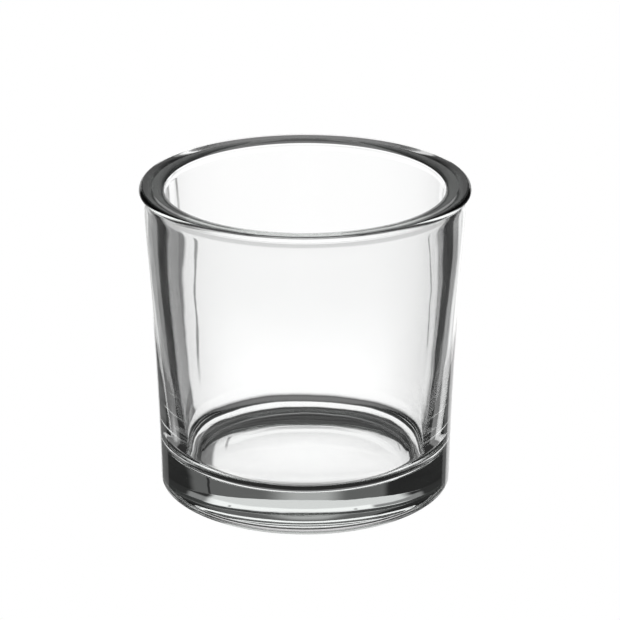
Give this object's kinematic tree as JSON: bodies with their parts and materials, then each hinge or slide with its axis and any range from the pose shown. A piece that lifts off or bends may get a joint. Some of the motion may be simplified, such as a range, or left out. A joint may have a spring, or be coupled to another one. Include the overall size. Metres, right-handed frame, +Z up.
{
  "type": "tealight holder",
  "caption": "Clear glass tealight holder: a round, thick-walled cup with a flared flat-topped lip, a deep candle well and a heavy base with a shallow hollow underneath.",
  "frame": {"origin": "centre of the base, on the surface that the holder stands on", "axes": "+Z up along the axis of the glass, through the middle of the mouth; the glass is round, so X and Y are free"},
  "size_m": [0.0826, 0.0826, 0.08],
  "materials": {
    "clear_glass": "clear, fire-polished, smooth"
  },
  "bodies": {
    "root": {"glass_holder": "clear_glass"}
  },
  "joints": []
}
